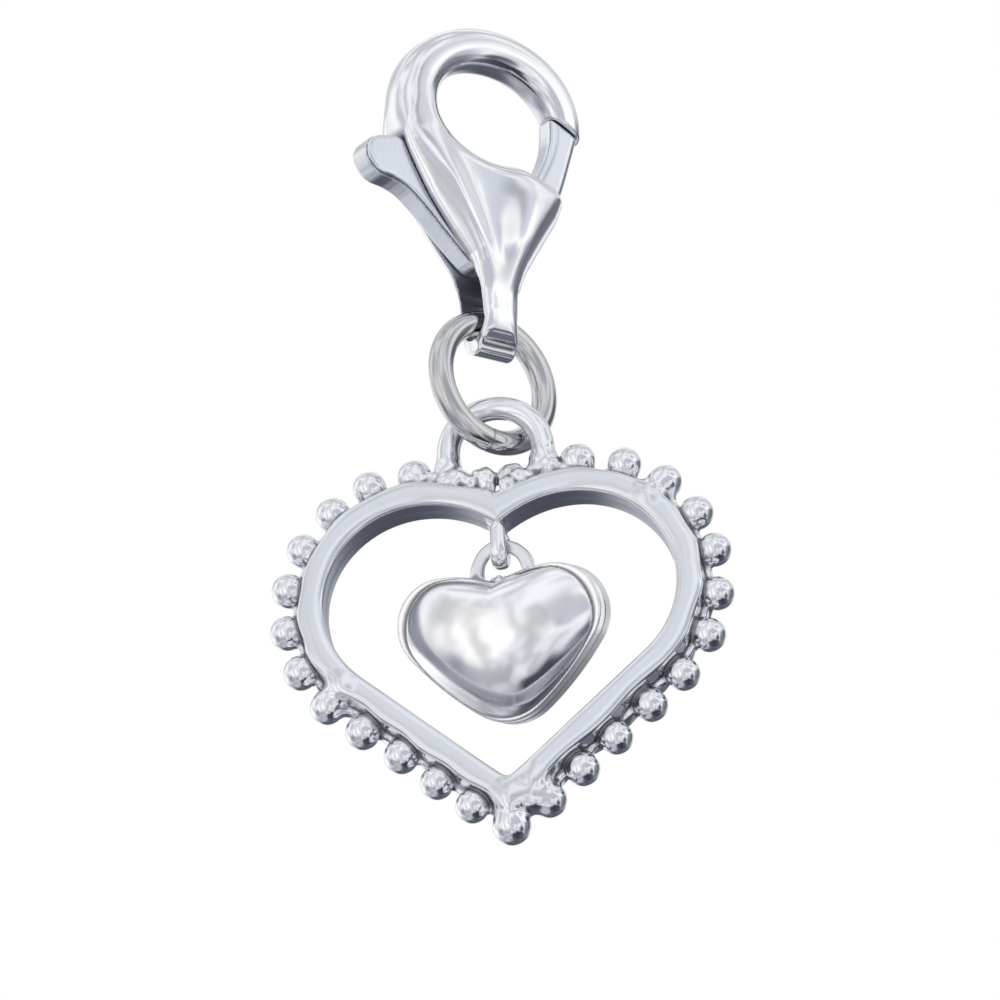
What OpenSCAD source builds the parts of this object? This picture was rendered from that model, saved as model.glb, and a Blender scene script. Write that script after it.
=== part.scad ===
// Double heart charm: a lobster clasp carries a plain jump ring, an open heart
// edged with round grains hangs from the ring, and a puffed heart hangs inside it.
// Millimetres. The origin is the inside top of the clasp's hook, +Z is up,
// and the front of the outer heart faces -Y.

/* [Clasp] */
// Turn of the clasp about the vertical, seen from above
clasp_yaw = 42; // [40:1:44]
// Half width of the hook's opening
opening_half_w = 2.38; // [2.3:0.02:2.5]
// Half height of the hook's opening
opening_half_h = 1.85; // [1.8:0.05:1.9]
// Offset of the hook's opening from the line of pull
opening_shift = 0.35; // [0.27:0.02:0.43]
// Thickness of the space between the clasp's two shells
slot_gap = 1.1; // [1.06:0.02:1.14]
// Thickness of the space between the plates of the tail
eye_gap = 1.28; // [1.26:0.01:1.3]
// Height of the floor of the tail's eye
eye_floor_z = -10.45; // [-10.5:0.05:-10.4]

/* [Lever] */
// Thickness of the lever between the shells
lever_t = 0.9; // [0.8:0.05:0.9]
// Thickness of the gate above the shells
gate_t = 1.1; // [1:0.05:1.2]
// Radius of the rivet that the lever turns on
rivet_r = 0.4; // [0.35:0.05:0.45]
// Running clearance between the rivet and the lever's bore
rivet_play = 0.04; // [0.02:0.01:0.08]
// Distance from the rivet to the end of the gate
gate_reach = 5.86; // [5.8:0.02:5.9]
// Gap between the end of the gate and the hook's tip
gate_gap = 0.12; // [0.1:0.01:0.16]

/* [Jump ring] */
// Outer diameter of the ring
ring_od = 5.3; // [5.2:0.1:5.4]
// Diameter of the ring's wire
ring_wire = 0.88; // [0.84:0.02:0.9]
// Turn of the ring about the vertical
ring_yaw = 45; // [44:1:46]

/* [Outer heart] */
// Radius of each lobe along the rail's inner edge
lobe_r = 3.5; // [3.4:0.05:3.6]
// Distance of each lobe's centre from the middle
lobe_x = 2.6; // [2.5:0.05:2.7]
// Depth of the cleft below the top of the lobes
cleft_drop = 1.04; // [1:0.02:1.06]
// Distance from the top of the lobes down to the inner tip
heart_h = 10.43; // [10.2:0.01:10.6]
// Width of the rail's front
rail_w = 0.85; // [0.8:0.05:0.9]
// Depth of the rail from front to back
rail_depth = 1.42; // [1.36:0.02:1.5]
// Diameter of each grain
grain_d = 1.2; // [1.1:0.05:1.25]
// Distance from the rail's inner edge to the line of grains
grain_offset = 1.4; // [1.35:0.05:1.45]
// Spacing of the grains along their line
grain_pitch = 1.6; // [1.55:0.05:1.65]

/* [Bail and inner loop] */
// Outer width of the bail
bail_w = 4.1; // [4.05:0.05:4.2]
// Diameter of the bail's wire
bail_wire = 0.82; // [0.78:0.01:0.82]
// Height of the bail's top above the top of the opening
bail_rise = 4.07; // [4:0.01:4.2]
// Inner radius of the small loop that holds the inner heart
loop_r = 0.37; // [0.36:0.01:0.39]
// Thickness of the small loop's band
loop_t = 0.44; // [0.4:0.02:0.48]
// Width of the small loop's band
loop_w = 0.58; // [0.5:0.02:0.6]

/* [Inner heart] */
// Radius of each lobe of the inner heart
inner_lobe_r = 1.65; // [1.6:0.05:1.7]
// Distance of each lobe's centre from the middle
inner_lobe_x = 2; // [1.95:0.05:2.05]
// Height of the inner heart from lobes to the sharp tip of its outline
inner_h = 6.1; // [5.9:0.05:6.2]
// Radius that rounds the tip of the inner heart
inner_tip_r = 1.2; // [1.1:0.1:1.4]
// Height of the dome above its border
dome_h = 1.3; // [1.1:0.1:1.4]
// Depth of the straight side wall
side_t = 1.3; // [1.2:0.1:1.4]
// Turn of the inner heart about the vertical
inner_yaw = -12; // [-15:1:-10]
// Lean of the inner heart's face towards the ground, as it hangs
inner_lean = 18; // [17:0.1:20]

/* [Hidden] */
eps = 0.02;

// Clasp, in its own plane: u to the right, w up, and its front towards -Y
opening_w = -opening_half_h;
hook_from = -14;
hook_to = 205;
hook_step = 14.6;
// Columns: angle round the opening, thickness in the plane, half depth
HOOK = [
  [-14, 1.18, 0.66], [20, 1.3, 0.7], [50, 1.42, 0.73], [90, 1.5, 0.76],
  [130, 1.5, 0.79], [155, 1.6, 0.81], [180, 1.75, 0.84], [205, 2.1, 0.9]
];
// Columns: height, left edge, right edge, half depth
BODY = [
  [-2.6, -3.82, -1.95, 0.88], [-3.1, -3.85, -1.44, 0.96], [-3.55, -3.75, -0.27, 1.05],
  [-3.85, -3.64, 1.84, 1.12], [-4.25, -3.46, 3, 1.2], [-4.8, -3.17, 3.05, 1.27],
  [-5.5, -2.8, 2.7, 1.3], [-6.2, -2.32, 2.25, 1.27], [-7, -1.74, 1.76, 1.2],
  [-7.8, -1.11, 1.29, 1.06], [-8.6, -0.88, 1, 0.97], [-9.6, -0.8, 0.92, 0.94],
  [-10.2, -0.75, 0.85, 0.82], [-10.65, -0.71, 0.81, 0.62], [-10.9, -0.66, 0.76, 0.38],
  [-11, -0.6, 0.7, 0.2]
];
// Space for the lever, open to the left and over the right shoulder
SLOT = [
  [-6.3, -2.95], [-3.4, -3.05], [-2.75, -3.7], [-1.45, -4.2], [0.2, -4.4], [0.27, -3.3],
  [4.5, -3.3], [4.5, -4.55], [3.15, -4.65], [2.8, -5.05], [2.35, -5.8], [1.9, -6.5],
  [1.5, -7.2], [1.1, -7.9], [0.9, -8.7], [-6.3, -8.7]
];
pivot = [0.5, -6.9];
boss_r = 0.85;
// Both arms run round the rivet, and the gate's end is cut to an arc about it
GATE_ARM = [
  [2.66, -1], [4, -1], [3.83, -1.75], [3, -4.34], [2.6, -4.98], [1.75, -6.05], [1.05, -6.6],
  [-0.3, -6.35], [-0.1, -5.75], [0.9, -5.05], [1.8, -4.1], [2.4, -2.95], [2.62, -2.2]
];
THUMB_ARM = [
  [-4.5, -3.73], [-3.72, -3.5], [-3.15, -4.1], [-2.1, -5.1], [-0.9, -5.9], [0.4, -6.1], [0.4, -7.7],
  [-0.4, -7.9], [-0.86, -7.82], [-1.85, -6.9], [-2.83, -5.92], [-3.5, -5.38], [-4.31, -5.13]
];
thumb = [-4.46, -4.35];
thumb_low = [-4.35, -4.6];
thumb_r = 0.62;
thumb_low_r = 0.54;
rivet_h = 2;
rivet_end_play = 0.03;
gate_low_w = -3.55;
tip_low_w = -3.3;
tip_left_u = 1.8;

// Jump ring
ring_wire_r = ring_wire / 2;
ring_r = ring_od / 2 - ring_wire_r;
eye_clear = 0.27;
ring_top_z = eye_floor_z + eye_clear + ring_wire_r;
ring_z = ring_top_z - ring_r;
ring_low_z = ring_z - ring_r;

// Outer heart, worked out down from the ring
bail_wire_r = bail_wire / 2;
bail_r = bail_w / 2 - bail_wire_r;
bail_clear = 0.4;
bail_top_z = ring_low_z + ring_wire_r + bail_clear + bail_wire_r;
bail_centre_z = bail_top_z - bail_r;
foot_flare = 0.12;
lobe_top_z = bail_top_z + bail_wire_r - bail_rise;
bail_foot_z = lobe_top_z + 0.6;
lobe_z = lobe_top_z - lobe_r;
tip_z = lobe_top_z - heart_h;
rail_front = rail_depth / 2;
crown = 0.12;
grain_back = 0.08;
heart_y = -0.062;
tip_away = lobe_z - tip_z;
// Angle of the sides from the vertical, from the tangent to the lobe's circle
side_angle = atan(lobe_x / tip_away) + asin(lobe_r / norm([lobe_x, tip_away]));
side_len = sqrt(lobe_x * lobe_x + tip_away * tip_away - lobe_r * lobe_r);
cleft_r = (lobe_x * lobe_x + cleft_drop * cleft_drop) / (2 * cleft_drop);
cleft_to = acos(-lobe_x / cleft_r);
cleft_overrun = 3;
tip_overrun = 1.3;
first_grain = 1.78;
side_grains = 12;
neck_len = 0.75;
neck_share = 0.62;
neck_turn = 17;
neck_back = 0.07;
cleft_grain_pitch = 1.18;
cleft_grain_d = 1.02;
low_grain_z = tip_z - 1.52;
low_neck_d = 0.8;

// Small loop and inner heart
loop_y = 0.08;
loop_z = lobe_top_z - 1.53;
loop_sink = 0.4;
bar = 0.44;
eyelet_hole_r = 0.72;
eyelet_r = eyelet_hole_r + bar;
eyelet_t = 0.34;
loop_clear = 0.4;
inner_cleft_drop = 0.42;
inner_points = 9;
// Columns: share of the outline, height as a share of the dome's
DOME = [[0.93, 0.06], [0.86, 0.42], [0.74, 0.7], [0.55, 0.88], [0.3, 0.975]];
// Columns: share of the outline, height behind the side wall
BACK = [[0.72, 0.3], [0.94, 0.12], [1, -0.12]];
back_rise = 0.36;
eyelet_sink = 0.12;
dome_centre = -2.25;
border_in = 0.965;
border_bevel = 0.1;

// A point of the ellipse of the hook's opening, and its outward direction
function opening_point(a) = [
  opening_shift + opening_half_w * cos(a),
  opening_w + opening_half_h * sin(a)
];
function opening_out(a) = atan2(sin(a) / opening_half_h, cos(a) / opening_half_w);

// A rounded section with flat sides, between an ellipse and a rectangle
function full(v, square) = sign(v) * pow(abs(v), 2 / square);
function section(half_w, half_d, square, n) = [
  for (i = [0 : n - 1])
    [half_w * full(cos(360 * i / n), square), half_d * full(sin(360 * i / n), square)]
];

function column(rows, c) = [for (row = rows) [row[0], row[c]]];

// Triangles between neighbouring rings of n points, for the rings from 0 to last
function walls(last, n) = [
  for (k = [0 : last - 1])
    for (i = [0 : n - 1])
      let (a = k * n + i, b = k * n + (i + 1) % n)
        each [[a, b + n, b], [a, a + n, b + n]]
];

// Points of an arc in a plane
function arc(centre, r, from, to, n) = [
  for (i = [0 : n])
    centre + r * [cos(from + (to - from) * i / n), sin(from + (to - from) * i / n)]
];

// Right half of a heart with a rounded tip, top of the lobes at zero
function half_heart(lx, lr, drop, h, tip_r, n) =
  let (
    away = h - lr,
    side = atan(lx / away) + asin(lr / norm([lx, away])),
    rc = (lx * lx + drop * drop) / (2 * drop),
    cleft_to = acos(-lx / rc)
  )
  concat(
    arc([lx, -rc], rc, cleft_to, 90, ceil(n / 3)),
    [for (p = arc([lx, -lr], lr, 90, -side, n)) if (p[1] < 0) p],
    [for (p = arc([0, tip_r / sin(side) - h], tip_r, -side, -90, ceil(n / 3))) if (p[0] > 0) p]
  );

// Closed outline of a heart, clockwise from the cleft
function heart(lx, lr, drop, h, tip_r, n) =
  let (
    right = half_heart(lx, lr, drop, h, tip_r, n),
    last = len(right) - 1,
    tip = [0, tip_r / sin(atan(lx / (h - lr)) + asin(lr / norm([lx, h - lr]))) - h - tip_r]
  )
  concat(right, [tip], [for (i = [last : -1 : 1]) [-right[i][0], right[i][1]]]);

module hook_section(a) {
  p = opening_point(a);
  thick = lookup(a, column(HOOK, 1));
  deep = lookup(a, column(HOOK, 2));
  translate([p[0], 0, p[1]])
    rotate([0, -opening_out(a), 0])
      translate([thick / 2, 0, 0])
        linear_extrude(eps, center = true)
          polygon(section(thick / 2, deep, 2.3, 18));
}

module body_section(row) {
  translate([(row[1] + row[2]) / 2, 0, row[0]])
    linear_extrude(eps, center = true)
      polygon(section((row[2] - row[1]) / 2, row[3], 3.4, 24));
}

// Prism of a shape drawn in the clasp's plane
module in_plane(thick) {
  rotate([90, 0, 0])
    linear_extrude(thick, center = true)
      children();
}

module clasp_form() {
  for (a = [hook_from : hook_step : hook_to - 1])
    hull() {
      hook_section(a);
      hook_section(a + hook_step);
    }
  for (i = [0 : len(BODY) - 2])
    hull() {
      body_section(BODY[i]);
      body_section(BODY[i + 1]);
    }
}

// Part of the hook's tip that lies within the sweep of the gate
module tip_cut() {
  in_plane(4)
    intersection() {
      translate(pivot)
        circle(r = gate_reach + gate_gap, $fn = 160);
      translate([tip_left_u, tip_low_w])
        square([3, 3]);
    }
}

// Hole through the tail from side to side, with a rounded floor
module eye() {
  translate([-3, 0, eye_floor_z + eye_gap / 2])
    rotate([0, 90, 0])
      cylinder(h = 6, r = eye_gap / 2, $fn = 32);
  translate([-3, -eye_gap / 2, eye_floor_z + eye_gap / 2])
    cube([6, eye_gap, 1.3]);
}

module clasp_body() {
  color("silver")
    rotate([0, 0, clasp_yaw])
      difference() {
        clasp_form();
        tip_cut();
        in_plane(slot_gap)
          polygon(SLOT);
        eye();
        translate([pivot[0], 0, pivot[1]])
          rotate([90, 0, 0])
            cylinder(h = rivet_h + 2 * rivet_end_play, r = rivet_r + eps, center = true, $fn = 32);
      }
}

module clasp_rivet() {
  color("silver")
    rotate([0, 0, clasp_yaw])
      translate([pivot[0], 0, pivot[1]])
        rotate([90, 0, 0])
          cylinder(h = rivet_h, r = rivet_r, center = true, $fn = 48);
}

module gate_outline() {
  intersection() {
    polygon(GATE_ARM);
    translate(pivot)
      circle(r = gate_reach, $fn = 160);
  }
}

module clasp_lever() {
  color("gainsboro")
    rotate([0, 0, clasp_yaw])
      difference() {
        union() {
          in_plane(lever_t) {
            translate(pivot)
              circle(r = boss_r, $fn = 48);
            gate_outline();
            polygon(THUMB_ARM);
            translate(thumb)
              circle(r = thumb_r, $fn = 48);
            translate(thumb_low)
              circle(r = thumb_low_r, $fn = 48);
          }
          in_plane(gate_t)
            intersection() {
              gate_outline();
              translate([0, gate_low_w])
                square([6, 3]);
            }
        }
        translate([pivot[0], 0, pivot[1]])
          rotate([90, 0, 0])
            cylinder(h = 3, r = rivet_r + rivet_play, center = true, $fn = 48);
      }
}

module jump_ring() {
  color("silver")
    translate([0, 0, ring_z])
      rotate([90, 0, ring_yaw])
        rotate_extrude($fn = 64)
          translate([ring_r, 0])
            circle(r = ring_wire_r, $fn = 24);
}

// Places along the right half of the rail's inner edge: x, z and outward direction
function rail_places(n) =
  let (
    start = cleft_to + cleft_overrun,
    cleft = [for (i = [0 : n / 4 - 1]) start + (90 - start) * 4 * i / n],
    lobe = [for (i = [0 : n]) 90 - (90 + side_angle) * i / n],
    foot = [lobe_x, lobe_z] + lobe_r * [cos(side_angle), -sin(side_angle)]
      - (side_len + tip_overrun) * [sin(side_angle), cos(side_angle)]
  )
  concat(
    [for (a = cleft) [lobe_x + cleft_r * cos(a), lobe_top_z - cleft_r + cleft_r * sin(a), a]],
    [for (a = lobe) [lobe_x + lobe_r * cos(a), lobe_z + lobe_r * sin(a), a]],
    [[foot[0], foot[1], -side_angle]]
  );

// Columns: outwards from the inner edge, forwards from the middle
RAIL = [
  [0, -rail_front], [rail_w + 0.1, -rail_front], [rail_w + 0.1, -rail_front * 0.23],
  [rail_w, rail_front - 2.4 * crown], [rail_w * 0.8, rail_front - crown * 0.8],
  [rail_w * 0.5, rail_front], [rail_w * 0.2, rail_front - crown * 0.3], [0, rail_front - crown]
];

module right_rail() {
  places = rail_places(28);
  n = len(RAIL);
  last = len(places) - 1;
  points = [
    for (p = places)
      for (q = RAIL)
        [p[0] + q[0] * cos(p[2]), -q[1], p[1] + q[0] * sin(p[2])]
  ];
  faces = concat(
    walls(last, n),
    [[for (i = [0 : n - 1]) i], [for (i = [n - 1 : -1 : 0]) last * n + i]]
  );
  intersection() {
    polyhedron(points = points, faces = faces, convexity = 6);
    translate([-eps, -2, tip_z - 3])
      cube([9, 4, heart_h + 6]);
  }
}

// Point beside the rail: s is the distance up the line of grains from its lowest
// point, and out is the distance outwards from the rail's inner edge
function beside_rail(s, out) =
  let (
    grain_arc = lobe_r + grain_offset,
    up = (s - side_len - grain_offset / tan(side_angle)) / grain_arc * 180 / PI - side_angle,
    left = 90 + (up - 90) * grain_arc / (cleft_r + grain_offset),
    along = s - side_len - grain_offset / tan(side_angle)
  )
  along < 0
    ? [lobe_x, lobe_z] + (lobe_r + out) * [cos(side_angle), -sin(side_angle)]
      + along * [sin(side_angle), cos(side_angle)]
  : up < 90
    ? [lobe_x, lobe_z] + (lobe_r + out) * [cos(up), sin(up)]
  : [lobe_x, lobe_top_z - cleft_r] + (cleft_r + out) * [cos(left), sin(left)];

// Grain with its neck, which runs in under the rail
module grain(s, d) {
  top = beside_rail(s, grain_offset);
  foot = beside_rail(s, grain_offset - neck_len);
  hull() {
    translate([top[0], grain_back, top[1]])
      sphere(d = d, $fn = 14);
    translate([foot[0], grain_back + neck_back, foot[1]])
      rotate([0, neck_turn, 0])
        sphere(d = d * neck_share, $fn = 8);
  }
}

module low_grain() {
  hull() {
    translate([0, grain_back, low_grain_z])
      sphere(d = grain_d, $fn = 14);
    translate([0, 0, low_grain_z + neck_len + neck_back])
      sphere(d = low_neck_d, $fn = 10);
  }
}

module right_grains() {
  for (k = [0 : side_grains - 1])
    grain(first_grain + k * grain_pitch, grain_d);
  for (k = [1 : 2])
    grain(first_grain + (side_grains - 1) * grain_pitch + k * cleft_grain_pitch, cleft_grain_d);
}

module bail() {
  translate([0, 0, bail_centre_z])
    rotate([90, 0, 0])
      rotate_extrude(angle = 180, $fn = 40)
        translate([bail_r, 0])
          circle(r = bail_wire_r, $fn = 14);
  for (side = [-1, 1])
    hull() {
      translate([side * bail_r, 0, bail_centre_z])
        cylinder(h = eps, r = bail_wire_r, $fn = 14);
      translate([side * bail_r, 0, bail_foot_z])
        cylinder(h = eps, r = bail_wire_r + foot_flare, $fn = 14);
    }
}

module inner_loop() {
  translate([0, loop_y, loop_z])
    rotate([90, 0, 90])
      rotate_extrude(angle = 180, start = 180, $fn = 28)
        translate([loop_r + loop_t / 2, 0])
          polygon(section(loop_t / 2, loop_w / 2, 3, 12));
  for (side = [-1, 1])
    translate([0, loop_y + side * (loop_r + loop_t / 2), loop_z])
      linear_extrude(lobe_top_z - cleft_drop + loop_sink - loop_z)
        polygon(section(loop_w / 2, loop_t / 2, 3, 12));
}

module heart_frame() {
  color("silver") {
    translate([0, heart_y, 0]) {
      for (side = [0, 1])
        mirror([side, 0, 0]) {
          right_rail();
          right_grains();
        }
      low_grain();
      inner_loop();
    }
    bail();
  }
}

// Ring of points at a share of the outline about the dome's centre, at a depth
function level(outline, share, y) = [
  for (p = outline)
    [p[0] * share, y, dome_centre + (p[1] - dome_centre) * share]
];

module puffed_heart() {
  outline = heart(inner_lobe_x, inner_lobe_r, inner_cleft_drop, inner_h, inner_tip_r, inner_points);
  n = len(outline);
  half = side_t / 2;
  rings = concat(
    [for (row = BACK) level(outline, row[0], half + row[1])],
    [level(outline, 1, border_bevel - half), level(outline, border_in, -half)],
    [for (row = DOME) level(outline, row[0], -half - dome_h * row[1])]
  );
  last = len(rings) - 1;
  points = concat(
    [for (ring = rings) each ring],
    [[0, half + back_rise, dome_centre], [0, -half - dome_h, dome_centre]]
  );
  back = (last + 1) * n;
  front = back + 1;
  faces = concat(
    [for (face = walls(last, n)) [face[0], face[2], face[1]]],
    [for (i = [0 : n - 1]) [back, (i + 1) % n, i]],
    [for (i = [0 : n - 1]) [front, last * n + i, last * n + (i + 1) % n]]
  );
  polyhedron(points = points, faces = faces, convexity = 4);
}

// The eyelet's bar lies on the pivot, and the heart hangs from the eyelet
module inner_heart() {
  color("gainsboro")
    translate([0, heart_y + loop_y, loop_z])
      rotate([0, 0, inner_yaw])
        rotate([inner_lean, 0, 0])
          translate([0, 0, bar / 2 - eyelet_r]) {
            rotate([90, 0, 0])
              difference() {
                linear_extrude(eyelet_t, center = true)
                  circle(r = eyelet_r, $fn = 48);
                cylinder(h = 2, r = eyelet_hole_r, center = true, $fn = 48);
              }
            translate([0, eyelet_t / 2 - side_t / 2 - eyelet_sink, inner_cleft_drop - loop_clear])
              puffed_heart();
          }
}

clasp_body();
clasp_rivet();
clasp_lever();
jump_ring();
heart_frame();
inner_heart();
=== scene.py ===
"""Looks of the double heart charm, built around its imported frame.

Shapes are in millimetres until mesh_piece() writes them in metres."""

import math

import bpy
import numpy as np
from mathutils import Matrix, Vector


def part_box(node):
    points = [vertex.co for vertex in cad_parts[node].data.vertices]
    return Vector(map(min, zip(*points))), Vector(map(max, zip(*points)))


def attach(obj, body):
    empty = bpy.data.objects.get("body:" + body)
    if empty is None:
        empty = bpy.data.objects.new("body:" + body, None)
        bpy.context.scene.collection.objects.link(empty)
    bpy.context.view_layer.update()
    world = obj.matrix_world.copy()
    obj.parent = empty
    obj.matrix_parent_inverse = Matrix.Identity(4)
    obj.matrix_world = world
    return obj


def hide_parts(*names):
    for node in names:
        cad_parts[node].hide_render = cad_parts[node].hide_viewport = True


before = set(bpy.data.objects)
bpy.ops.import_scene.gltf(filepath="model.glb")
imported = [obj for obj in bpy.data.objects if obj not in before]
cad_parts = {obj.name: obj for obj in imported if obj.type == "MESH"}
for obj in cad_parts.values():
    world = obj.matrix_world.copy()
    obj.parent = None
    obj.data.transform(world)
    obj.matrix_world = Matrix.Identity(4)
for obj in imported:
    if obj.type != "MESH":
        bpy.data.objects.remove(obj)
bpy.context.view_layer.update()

MM = 0.001
RNG = np.random.default_rng(7)

# Clasp, in its own plane: u to the right, w up, f towards its front
CLASP_YAW = math.radians(42)
OPENING = dict(u=0.35, w=-1.85, half_w=2.38, half_h=1.85)
# Columns: angle round the opening in degrees, thickness in the plane, half depth
HOOK = [
    (-14, 1.18, 0.57), (20, 1.3, 0.66), (50, 1.42, 0.72), (90, 1.5, 0.76),
    (130, 1.5, 0.79), (155, 1.6, 0.81), (180, 1.75, 0.84), (205, 1.95, 0.86), (225, 1.72, 0.88),
]
# Where the hook's ring ends, as angles in degrees, and the length of a degree along it
HOOK_TIP_ANGLE = -13
HOOK_ROOT_ANGLE = 222
DEGREE_LENGTH = 0.05
# Columns: height, left edge, right edge, half depth between the ridge and the bulge
BODY = [
    (-1.9, -3.0, -2.7, 0.84), (-2.5, -3.4, -2.1, 0.86), (-3.1, -3.66, -1.3, 0.88),
    (-3.45, -3.7, 0.1, 0.92), (-3.8, -3.64, 1.7, 0.95), (-4.15, -3.5, 2.66, 0.97),
    (-4.75, -3.2, 2.98, 1.0), (-5.5, -2.8, 2.68, 1.0), (-6.2, -2.32, 2.25, 1.0),
    (-7.0, -1.74, 1.76, 1.0), (-7.8, -1.11, 1.29, 0.95), (-8.6, -0.88, 1.0, 0.88),
    (-9.6, -0.8, 0.92, 0.88), (-11.4, -0.69, 0.8, 0.9),
]
# Height where the hook starts to turn into the body, the height that this takes, and the height
# of the shoulder on the right
BODY_TOP = -1.9
BODY_BLEND = 1.5
SHOULDER = -3
# How round the section is: 2 is an ellipse, and more is squarer
SECTION_POWER = 2.4
# Width over which the shells' edge rolls away, how much less it is on the left, and how far
# from the left edge that reaches
EDGE_ROLL = 0.8
LEFT_ROLL_LESS = 0.54
LEFT_ROLL_REACH = 0.5
# Outline of the gap between the two shells, in which the lever lies. It is open on the left and
# over the shoulder
SLOT = [
    (-6.3, -3.45), (-3.75, -3.42), (-3.05, -4.0), (-2.0, -4.93), (-0.85, -5.5), (-0.4, -4.75),
    (0.2, -4.4), (0.27, -3.3), (4.5, -3.3), (4.5, -4.6), (3.25, -4.92), (2.62, -5.3),
    (2.2, -5.8), (1.75, -6.5), (1.42, -7.2), (0.98, -7.9), (0.5, -8.7), (-6.3, -8.7),
]
# The ridge down the left side. Columns: height, place across, rise, half width
RIDGE = [
    (-1.0, -2.9, 0.0, 0.7), (-2.2, -2.85, 0.04, 0.7), (-3.2, -2.72, 0.12, 0.7),
    (-4.2, -2.38, 0.22, 0.66), (-5.2, -1.9, 0.29, 0.6), (-6.2, -1.4, 0.28, 0.54),
    (-7.2, -0.9, 0.18, 0.5), (-8.2, -0.5, 0.07, 0.46), (-9.4, -0.4, 0.02, 0.4),
]
# The bulge on the right, with the same columns
BULGE = [
    (-3.4, 1.3, 0.0, 1.0), (-4.3, 1.35, 0.16, 1.1), (-5.3, 1.2, 0.29, 1.05), (-6.3, 0.9, 0.31, 0.88),
    (-7.2, 0.6, 0.25, 0.72), (-8.0, 0.35, 0.13, 0.56), (-8.8, 0.22, 0.03, 0.46), (-9.6, 0.2, 0.0, 0.4),
]
# Gap between the shells, the height where it starts to widen to the eye's, and how far that takes
SLOT_GAP = 1.1
GAP_WIDENS = -7.6
GAP_BLEND = 0.9
# Gap of the eye that holds the ring, its lowest point, and its height above its round floor
EYE_GAP = 1.28
EYE_FLOOR = -10.45
EYE_RISE = 1.3
# Lowest point of the strap, the height where it starts to curl under, half its depth there, and
# how fast it leaves the body's shape free above
TAIL_END = -11.0
TAIL_BEND = -9.3
TAIL_HALF = 0.94
TAIL_SPREAD = 0.6
# Steps of the strap's lapped end. Columns: turn round the eye in degrees, depth
LAP_STEPS = [(38, 0.05), (53, 0.04), (68, -0.09)]

# Lever: the pin's place, and the radii of its bore and of the boss round it
PIVOT = (0.5, -6.9)
RIVET_BORE = 0.44
BOSS_R = 0.85
# The gate's end lies on a circle round the pin. The hook is cut at a gap from the circle, to the
# right of HOOK_CUT and above it, and the gate stands a little past the circle.
GATE_REACH = 5.86
GATE_GAP = 0.11
GATE_PROUD = 0.075
HOOK_CUT = (1.8, -3.3)
# Thickness, the rounding of its edges, and how much more there is towards the gate
LEVER_T = 1.03
LEVER_ROUND = 0.16
GATE_ROUND = 0.16
GATE_ROUND_START = 0.8
# The line along the thumb's front edge: distance behind the face, half width, depth, right end
EDGE_LINE = dict(behind=0.13, half=0.035, deep=0.07, end=-0.9)
GATE_ARM = [
    (2.66, -1.0), (4.0, -1.0), (3.83, -1.75), (3.0, -4.34), (2.6, -4.98), (1.75, -6.05), (1.05, -6.6),
    (-0.3, -6.35), (-0.1, -5.75), (0.9, -5.05), (1.8, -4.1), (2.4, -2.95), (2.62, -2.2),
]
THUMB_ARM = [
    (-4.95, -3.85), (-4.4, -3.68), (-3.72, -3.5), (-3.15, -4.1), (-2.1, -5.1), (-0.9, -5.9),
    (0.4, -6.1), (0.4, -7.7), (-0.4, -7.9), (-0.86, -7.82), (-1.85, -6.9), (-2.83, -5.92),
    (-3.5, -5.38), (-4.31, -5.13), (-5.0, -4.75), (-5.12, -4.3),
]
# Round ends of the thumb tab. Columns: place across, height, radius
THUMB_ENDS = [(-4.46, -4.35, 0.62), (-4.35, -4.6, 0.54)]

# Jump ring, with the turn from its right side to its soldered seam
RING_YAW = math.radians(45)
RING_OD = 5.3
RING_WIRE = 0.88
SEAM_TURN = math.radians(262)

# Outer heart, with its own middle plane at HEART_Y. The sizes from LOBE_R to CLEFT_ROUND are
# those of the rail's inner edge
HEART_Y = -0.062
LOBE_R = 3.5
LOBE_X = 2.6
CLEFT_DROP = 1.04
HEART_H = 10.43
TIP_ROUND = 0.15
CLEFT_ROUND = 0.2
# Rail: width, half depth, how much its front falls away at the edges, how far its outer edge
# waves, and how much wider it grows towards the back
RAIL_W = 0.85
RAIL_HALF = 0.71
RAIL_CROWN = 0.09
RAIL_WAVE = 0.035
RAIL_FLARE = 0.1
# Web behind the grains: how far it stands out of the rail, its middle plane and half thickness
WEB_OUT = 0.32
WEB_BACK = 0.34
WEB_HALF = 0.3
# Grains: how many on each side, and how many of those are big and evenly spaced
SIDE_GRAINS = 14
BIG_GRAINS = 12
GRAIN_D = 1.2
SMALL_GRAIN_D = 1.02
FIRST_GRAIN = 1.78
GRAIN_PITCH = 1.6
SMALL_PITCH = 1.18
# Distance of the grains' middles from the rail's inner edge, of their necks' feet from there, and
# of the middles behind the rail's middle plane
GRAIN_OUT = 1.4
NECK_LENGTH = 0.75
GRAIN_BACK = 0.08
TIP_GRAIN_DROP = 1.52
# Bail: radius of its arch and of its wire, its top above the lobes' top, and how far its feet
# widen
BAIL_R = 1.64
BAIL_WIRE_R = 0.41
BAIL_RISE = 4.07
BAIL_FLARE = 0.12
# Small loop: how far the centre of its round bottom is below the lobes' top, its inner radius,
# its strap's thickness and width, its place behind the rail's middle plane, and how square its
# strap is
LOOP_DROP = 1.53
LOOP_R = 0.37
LOOP_T = 0.44
LOOP_W = 0.58
LOOP_Y = 0.08
LOOP_POWER = 2.5

# Grains, counted up both sides from the tip, whose necks flow into the front of the rail
FLOWING = (1, 8, 19)

# The ridge from the tip to its grain. Columns: place to the front, distance under the tip, radius
TIP_STEM = [(0.24, 0.62, 0.42), (0.06, 1.1, 0.42), (-0.05, 1.45, 0.48)]

# Solder between the tip and the grain on its right: place across, to the front, under the tip
TIP_FILL = (0.72, 0.18, 0.74)
TIP_FILL_R = 0.38

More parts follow.
